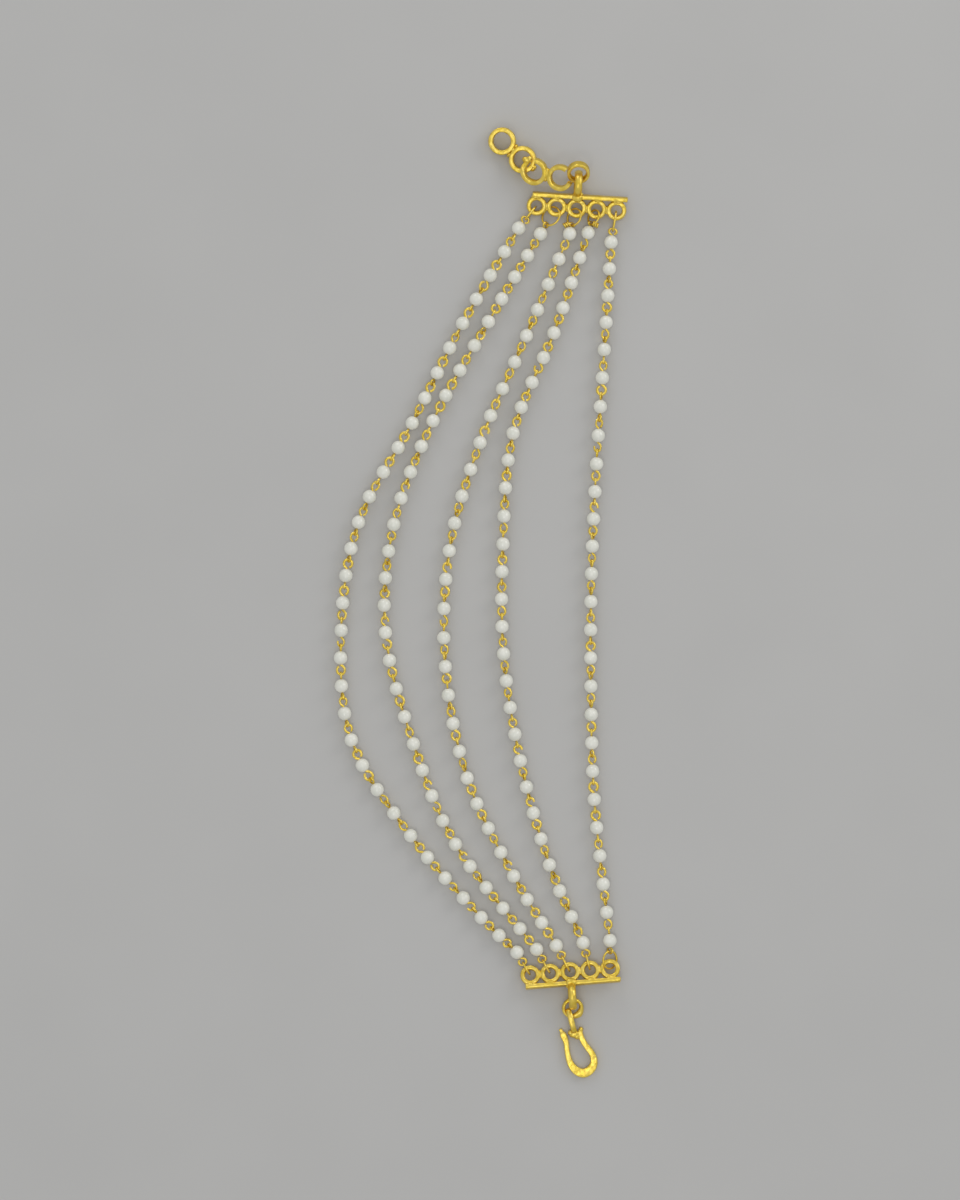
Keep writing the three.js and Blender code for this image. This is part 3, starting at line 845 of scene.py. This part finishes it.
# Adjuster, clasp ring and hook

class EARCHAIN_OT_adjuster(bpy.types.Operator):
    """Solders the rings of the adjuster in pairs and hangs the last ring on the bail"""

    bl_idname = "ear_chain.adjuster"
    bl_label = "Adjuster"

    def execute(self, context):
        sizes = settings().adjuster
        self.closed_pair(sizes)
        self.opened_pair(sizes)
        ring = band_ring(
            ADJUSTER_RING["outer"] * MM, ADJUSTER_RING["hole"] * MM, ADJUSTER_RING["depth"] * MM, sizes.edge)
        roughen(ring, *UNEVENNESS["adjuster_ring"])
        put_down(ring, laid(ADJUSTER_RING_PLACE))
        smooth(ring)
        hand_in(ring, "adjuster_ring_gold", ["adjuster_ring"], gold_finish())
        return {"FINISHED"}

    def closed_pair(self, sizes):
        """Two closed rings with ribs of solder between them."""
        hole = sizes.closed_radius - sizes.wall
        first = band_ring(sizes.closed_radius, hole, sizes.closed_depth, sizes.edge)
        roughen(first, *UNEVENNESS["closed_ring"])
        apart = Matrix.Translation((sizes.closed_apart, 0, 0))
        second = copy_of(first, apart @ Matrix.Rotation(SECOND_RING_TURN, 4, "Z"))
        middle = sizes.closed_apart / MM / 2
        ribs = [solder(drop, shift_x=middle) for drop in CLOSED_RIBS]
        pair = joined([first, second, *ribs, solder(CLOSED_END)])
        put_down(pair, laid(ADJUSTER_LINK_1_PLACE))
        smooth(pair)
        hand_in(pair, "adjuster_link_1_gold", ["adjuster_link_1"], gold_finish())

    def opened_pair(self, sizes):
        """Two opened rings with a saddle of solder between them, the first hooked into its neighbour."""
        first_arc, second_arc = OPENED_ARCS
        first = opened_band(sizes.opened_radius, sizes.wall, sizes.opened_depth, sizes.edge, **first_arc)
        self.dip_end(first, math.radians(first_arc["first"]), sizes)
        second = opened_band(
            sizes.opened_radius - SECOND_SMALLER * MM, sizes.wall, sizes.opened_depth, sizes.edge,
            **second_arc)
        put_down(second, Matrix.Translation((sizes.opened_apart, 0, 0)))
        middle = sizes.opened_apart / MM / 2
        saddle = [solder(drop, shift_x=middle) for drop in OPENED_SADDLE]
        pair = joined([first, second, *saddle, *(solder(drop) for drop in OPENED_END)])
        roughen(pair, *UNEVENNESS["opened_rings"])
        put_down(pair, laid(ADJUSTER_LINK_2_PLACE))
        smooth(pair)
        hand_in(pair, "adjuster_link_2_gold", ["adjuster_link_2"], gold_finish())

    def dip_end(self, band, angle, sizes):
        """Bends the band's first end down, out of its plane."""
        radius = sizes.opened_radius - sizes.wall / 2
        tip = Vector((radius * math.cos(angle), radius * math.sin(angle), 0))
        edit(band)
        pick(band, "faces", lambda face: (face.calc_center_median() - tip).length < 1e-5)
        bpy.ops.transform.translate(
            value=(0, 0, -DIP * MM), use_proportional_edit=True, proportional_size=DIP_SPREAD * MM)
        leave_edit()


class EARCHAIN_OT_clasp(bpy.types.Operator):
    """Makes the ring that joins the lower bail and the hook"""

    bl_idname = "ear_chain.clasp"
    bl_label = "Clasp Ring"

    def execute(self, context):
        radius = CLASP_RING["radius"] * MM
        ring = wire_loop(
            radius, radius, CLASP_RING["wire"] * MM, broad=CLASP_RING["broad"], sides=12, segments=40)
        self.flatten_side(ring)
        roughen(ring, *UNEVENNESS["clasp_ring"])
        put_down(ring, laid(CLASP_RING_PLACE))
        smooth(ring, 60)
        hand_in(ring, "clasp_ring_gold", ["clasp_ring"], gold_finish())
        return {"FINISHED"}

    def flatten_side(self, ring):
        """Hammers the ring's side away from the strands broad: its outer wall goes out, its inner wall in."""
        for blow in HAMMER_BLOWS:
            spot = HAMMER_SIDE * blow["wall"] * MM
            edit(ring)
            pick(ring, "verts", lambda point: (point.co - spot).length < HAMMER_SPOT * MM)
            bpy.ops.transform.translate(
                value=HAMMER_SIDE * blow["push"] * MM, use_proportional_edit=True,
                use_proportional_connected=True, proportional_edit_falloff="SMOOTH",
                proportional_size=HAMMER_SPREAD * MM)
            leave_edit()


class EARCHAIN_OT_hook(bpy.types.Operator):
    """Hammers the hook out along its bend and solders its eye"""

    bl_idname = "ear_chain.hook"
    bl_label = "Ear Hook"

    def execute(self, context):
        parts = [self.bend(), self.eye()]
        parts += [solder(drop, ORIGIN_SHIFT.x, ORIGIN_SHIFT.y) for drop in HOOK_SOLDER]
        hook = joined(parts)
        smooth(hook, 60)
        hand_in(hook, "ear_hook_gold", ["ear_hook"], gold_finish())
        return {"FINISHED"}

    def bend(self):
        """The bend: a flat section drawn along the hook, wider where it was hammered, then rounded."""
        route = smooth_route(HOOK_ROUTE, steps=3)
        _, _, width, thickness = route[0]
        section = start(bpy.ops.mesh.primitive_plane_add, size=1, rotation=(0, math.pi / 2, 0))
        bpy.ops.object.transform_apply(rotation=True)
        edit(section)
        bpy.ops.mesh.select_all(action="SELECT")
        bpy.ops.transform.resize(value=(1, width * MM, thickness * MM))
        leave_edit()
        bend = drawn(
            section,
            [(x * MM, y * MM) for x, y, _, _ in route],
            [width for _, _, width, _ in route],
            [thickness for _, _, _, thickness in route],
        )
        apply_modifier(
            bend, "BEVEL", width=HOOK_EDGE * MM, segments=2, limit_method="ANGLE",
            angle_limit=math.radians(50))
        apply_modifier(bend, "SUBSURF", levels=1, render_levels=1)
        roughen(bend, *UNEVENNESS["hook"])
        put_down(bend, Matrix.Translation((ORIGIN_SHIFT + Vector((0, 0, HOOK_LEVEL))) * MM))
        return bend

    def eye(self):
        """The upright loop of broad wire that hangs in the clasp ring."""
        eye = wire_loop(
            HOOK_EYE["half_length"] * MM, HOOK_EYE["half_height"] * MM, HOOK_EYE["wire"] * MM,
            broad=HOOK_EYE["broad"], sides=12, segments=36)
        roughen(eye, *UNEVENNESS["hook_eye"])
        put_down(eye, laid(HOOK_EYE_PLACE))
        return eye


# Finishes

class Reading:
    """A number or colour that changes over a surface. Arithmetic on it adds Math nodes."""

    def __init__(self, finish, socket):
        self.finish = finish
        self.socket = socket

    def math(self, operation, first, second):
        return self.finish.node("ShaderNodeMath", {"operation": operation}, {0: first, 1: second})

    def __add__(self, other):
        return self.math("ADD", self, other)

    def __radd__(self, other):
        return self.math("ADD", other, self)

    def __sub__(self, other):
        return self.math("SUBTRACT", self, other)

    def __mul__(self, other):
        return self.math("MULTIPLY", self, other)


class Finish:
    """A material that is being put together: its nodes, and the shader that they feed."""

    def __init__(self, name):
        self.material = bpy.data.materials.new(name)
        self.material.use_nodes = True
        self.tree = self.material.node_tree
        self.shader = self.tree.nodes["Principled BSDF"]

    def node(self, kind, values=None, sockets=None, output=0):
        """Adds a node with these settings and socket values or links, and gives one of its outputs."""
        made = self.tree.nodes.new(kind)
        for key, value in (values or {}).items():
            setattr(made, key, value)
        for key, value in (sockets or {}).items():
            self.feed(made.inputs[key], value)
        return Reading(self, made.outputs[output])

    def feed(self, socket, value):
        if isinstance(value, Reading):
            self.tree.links.new(value.socket, socket)
        else:
            socket.default_value = value

    def set(self, **sockets):
        """Sets the shader's own sockets, an underscore standing for a space."""
        for key, value in sockets.items():
            self.feed(self.shader.inputs[key.replace("_", " ")], value)

    def spot(self):
        return self.node("ShaderNodeTexCoord", output="Object")

    def clouds(self, size, detail=2.0):
        """Soft noise whose clouds are about this many millimetres across, from 0 to 1."""
        return self.node(
            "ShaderNodeTexNoise", {"noise_dimensions": "3D"},
            {"Vector": self.spot(), "Scale": 1 / (size * MM), "Detail": detail, "Roughness": 0.55})

    def dents(self, size):
        """Rounded cells, as a hammer leaves, about this many millimetres across."""
        return self.node(
            "ShaderNodeTexVoronoi", {"feature": "SMOOTH_F1"},
            {"Vector": self.spot(), "Scale": 1 / (size * MM), "Smoothness": 0.6})

    def blend(self, share, first, second):
        """Mixes two colours."""
        return self.node(
            "ShaderNodeMix", {"data_type": "RGBA"}, {"Factor": share, 6: first, 7: second}, output=2)

    def bump(self, height, depth):
        """A bump of this depth in millimetres."""
        return self.node("ShaderNodeBump", None, {"Height": height, "Distance": depth * MM, "Strength": 1.0})


def colour(values):
    return (*values, 1.0)


def gold_finish():
    """Bright yellow plating: deeper where it is thick, with fine pits and soft hammer marks."""
    made = bpy.data.materials.get("gold_plating")
    if made:
        return made
    finish = Finish("gold_plating")
    tones = settings().finish
    thick = finish.clouds(size=1.4, detail=3.0)
    worn = finish.clouds(size=0.4)
    relief = finish.dents(size=0.85) * 0.7 + worn * 0.3
    share = thick * GOLD["contrast"] - GOLD["onset"]
    finish.set(
        Base_Color=finish.blend(share, colour(tones.gold_bright), colour(tones.gold_deep)),
        Metallic=1.0,
        Roughness=GOLD["roughness"] + worn * GOLD["wear"],
        Normal=finish.bump(relief, GOLD["relief"]),
    )
    return finish.material


def pearl_finish():
    """Creamy white pearl: faint greener clouds under a soft clear skin."""
    made = bpy.data.materials.get("pearl_coat")
    if made:
        return made
    finish = Finish("pearl_coat")
    tones = settings().finish
    clouds = finish.clouds(size=1.3, detail=3.0)
    skin = finish.clouds(size=0.4)
    share = clouds * PEARL["contrast"] - PEARL["onset"]
    finish.set(
        Base_Color=finish.blend(share, colour(tones.pearl_light), colour(tones.pearl_dark)),
        Roughness=PEARL["roughness"] + skin * PEARL["wear"],
        IOR=1.6,
        Coat_Weight=0.5,
        Coat_Roughness=0.12,
        Normal=finish.bump(skin, PEARL["relief"]),
    )
    return finish.material


# Stage

class EARCHAIN_OT_stage(bpy.types.Operator):
    """Lays the pale floor and sets the soft lights and the camera"""

    bl_idname = "ear_chain.stage"
    bl_label = "Stage"

    def execute(self, context):
        self.floor()
        for name, lamp in LAMPS.items():
            self.light(name, **lamp)
        self.surroundings()
        self.camera()
        return {"FINISHED"}

    def floor(self):
        floor = start(
            bpy.ops.mesh.primitive_plane_add, size=FLOOR_SIDE, location=(0, 0, -FLOOR_DROP * MM))
        bpy.ops.object.transform_apply(location=True)
        floor.name = "floor"
        finish = Finish("floor_paper")
        base = Vector(settings().stage.floor_colour)
        clouds = finish.clouds(FLOOR_CLOUDS["size"])
        finish.set(
            Base_Color=finish.blend(clouds, colour(base), colour(base * FLOOR_CLOUDS["tone"])),
            Roughness=0.75,
        )
        floor.data.materials.append(finish.material)

    def light(self, name, spot, size, power):
        lamp = bpy.data.lights.new(name, "AREA")
        lamp.shape = "DISK"
        lamp.size = size
        lamp.energy = power
        holder = bpy.data.objects.new(name, lamp)
        holder.location = spot
        holder.rotation_euler = (-Vector(spot)).to_track_quat("-Z", "Y").to_euler()
        bpy.context.scene.collection.objects.link(holder)

    def surroundings(self):
        world = bpy.data.worlds.new("studio")
        world.use_nodes = True
        background = world.node_tree.nodes["Background"]
        background.inputs["Color"].default_value = SKY_COLOUR
        background.inputs["Strength"].default_value = SKY_STRENGTH
        bpy.context.scene.world = world
        bpy.context.scene.view_settings.view_transform = "Standard"

    def camera(self):
        sizes = settings().stage
        lens = bpy.data.cameras.new("camera")
        # The framed surface is at the level of the pearls' centres
        lens.lens = lens.sensor_width * (sizes.camera_height - PEARL_LEVEL * MM) / sizes.frame_height
        lens.clip_start = 0.01
        camera = bpy.data.objects.new("camera", lens)
        camera.location = (ORIGIN_SHIFT.x * MM, ORIGIN_SHIFT.y * MM, sizes.camera_height)
        bpy.context.scene.collection.objects.link(camera)
        bpy.context.scene.camera = camera


class EARCHAIN_PT_sidebar(bpy.types.Panel):
    """Lists the settings and the steps of the ear chain"""

    bl_idname = "EARCHAIN_PT_sidebar"
    bl_label = "Ear Chain"
    bl_space_type = "VIEW_3D"
    bl_region_type = "UI"
    bl_category = "Ear Chain"

    def draw(self, context):
        for part in ("strands", "bars", "adjuster", "finish", "stage"):
            box = self.layout.box()
            box.label(text=part.title())
            group = getattr(context.scene.ear_chain, part)
            for key in group.bl_rna.properties.keys():
                if key not in ("rna_type", "name"):
                    box.prop(group, key)
        for step in STEPS:
            self.layout.operator(step.bl_idname)


STEPS = (
    EARCHAIN_OT_stage,
    EARCHAIN_OT_end_bars,
    EARCHAIN_OT_adjuster,
    EARCHAIN_OT_clasp,
    EARCHAIN_OT_hook,
    EARCHAIN_OT_end_loops,
    EARCHAIN_OT_strands,
)
CLASSES = (
    EARCHAIN_PG_strands,
    EARCHAIN_PG_bars,
    EARCHAIN_PG_adjuster,
    EARCHAIN_PG_finish,
    EARCHAIN_PG_stage,
    EARCHAIN_PG_settings,
    *STEPS,
    EARCHAIN_PT_sidebar,
)


def register():
    for kind in CLASSES:
        bpy.utils.register_class(kind)
    bpy.types.Scene.ear_chain = PointerProperty(type=EARCHAIN_PG_settings)


def unregister():
    del bpy.types.Scene.ear_chain
    for kind in reversed(CLASSES):
        bpy.utils.unregister_class(kind)


def main():
    register()
    bpy.ops.ear_chain.stage()
    bpy.ops.ear_chain.end_bars()
    bpy.ops.ear_chain.adjuster()
    bpy.ops.ear_chain.clasp()
    bpy.ops.ear_chain.hook()
    bpy.ops.ear_chain.end_loops()
    bpy.ops.ear_chain.strands()


if __name__ == "__main__":
    main()
